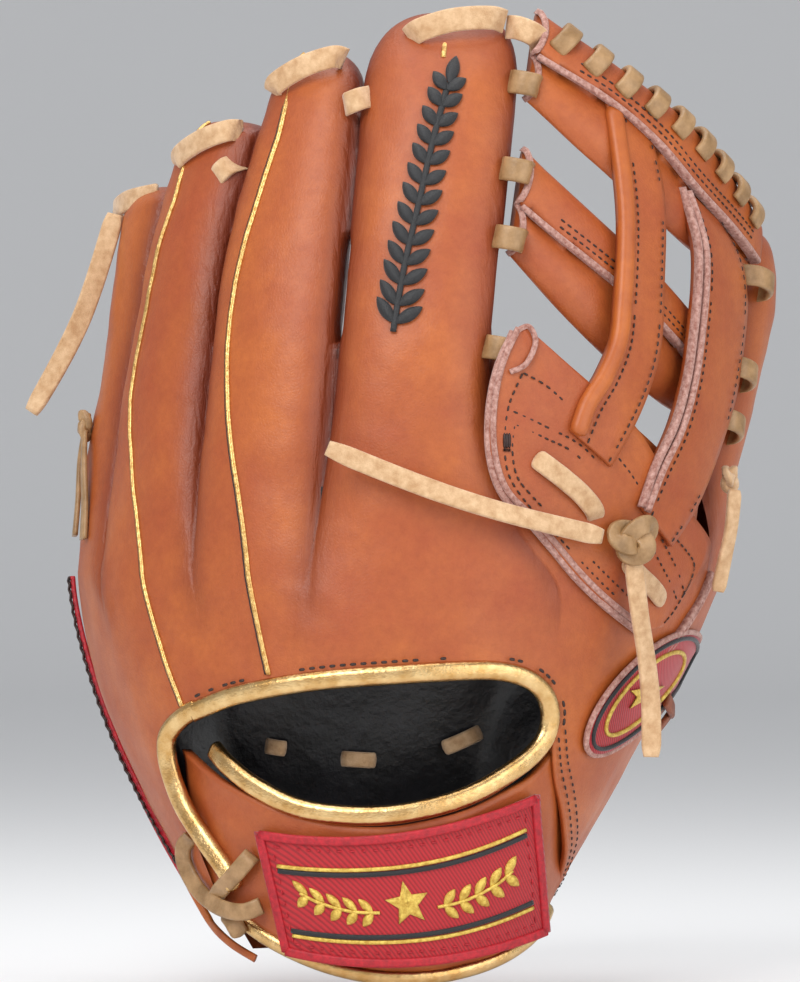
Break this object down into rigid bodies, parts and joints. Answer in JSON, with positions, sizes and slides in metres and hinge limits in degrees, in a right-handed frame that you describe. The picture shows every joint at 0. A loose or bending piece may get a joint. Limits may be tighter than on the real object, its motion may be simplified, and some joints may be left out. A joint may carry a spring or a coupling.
{
  "type": "baseball glove",
  "caption": "Fielding glove for the left hand, half closed, with an open-windowed bar-and-post web, laced fingers, padded heel and an open back; the thumb and pinky sides fold toward the palm.",
  "frame": {"origin": "the middle of the wrist opening, where the hand goes in", "axes": "+Z from the wrist to the fingertips, -Y out of the back of the hand, +Y out of the palm, +X towards the thumb"},
  "size_m": [0.2277, 0.1315, 0.3034],
  "materials": {
    "tan_leather": "oiled, smooth grain",
    "gold_leather": "foil-coated, rolled",
    "rawhide_lace": "cut lace with a fuzzy flesh side",
    "wool_felt": "pressed felt",
    "black_lining": "soft lining leather",
    "red_patch": "woven, embroidered",
    "brown_tab": "smooth"
  },
  "bodies": {
    "palm": {"index_finger_back": "tan_leather", "index_finger_front": "tan_leather", "index_finger_pad": "wool_felt", "middle_finger_back": "tan_leather", "middle_finger_front": "tan_leather", "middle_finger_pad": "wool_felt", "middle_finger_welt": "gold_leather", "palm_leather": "tan_leather", "palm_felt": "wool_felt", "palm_lining": "black_lining", "hand_back_lining": "black_lining", "palm_lace": "rawhide_lace", "opening_binding": "gold_leather", "wrist_strap": "tan_leather", "strap_lining": "black_lining", "strap_top_binding": "gold_leather", "strap_bottom_binding": "gold_leather", "strap_label": "red_patch", "web_base_tab": "tan_leather", "index_web_lace": "rawhide_lace", "index_tip_lace": "rawhide_lace", "middle_tip_lace": "rawhide_lace"},
    "thumb_side": {"thumb_back": "tan_leather", "thumb_front": "tan_leather", "thumb_base_back": "tan_leather", "thumb_palm": "tan_leather", "thumb_heel_pad": "wool_felt", "web_top_bar": "tan_leather", "web_middle_bar": "tan_leather", "web_inner_post": "tan_leather", "web_outer_post": "tan_leather", "web_base_back": "tan_leather", "web_base_front": "tan_leather", "web_top_lace": "rawhide_lace", "thumb_web_lace": "rawhide_lace", "web_base_lace": "rawhide_lace", "web_knot": "rawhide_lace", "web_tail_left": "rawhide_lace", "web_tail_down": "rawhide_lace", "thumb_knot": "rawhide_lace", "thumb_tail": "rawhide_lace", "thumb_patch": "red_patch", "thumb_tab": "brown_tab"},
    "pinky_side": {"ring_finger_back": "tan_leather", "ring_finger_front": "tan_leather", "ring_finger_pad": "wool_felt", "ring_finger_welt": "gold_leather", "pinky_finger_back": "tan_leather", "pinky_finger_front": "tan_leather", "pinky_finger_pad": "wool_felt", "pinky_palm": "tan_leather", "pinky_heel_pad": "wool_felt", "pinky_flap": "tan_leather", "flap_binding": "gold_leather", "pinky_edge_lacing": "red_patch", "strap_lace": "rawhide_lace", "ring_tip_lace": "rawhide_lace", "pinky_tip_lace": "rawhide_lace", "pinky_side_knot": "rawhide_lace", "pinky_tail": "rawhide_lace"}
  },
  "joints": [
    {"name": "thumb_fold", "type": "hinge", "parent": "palm", "child": "thumb_side", "pos_m": [0.054, 0.014, 0], "axis": [-0.04, -0.02, 0.999], "range_deg": [-5, 24]},
    {"name": "pinky_fold", "type": "hinge", "parent": "palm", "child": "pinky_side", "pos_m": [-0.051, 0.012, 0], "axis": [0, -0.0896, -0.996], "range_deg": [-4, 18]}
  ]
}
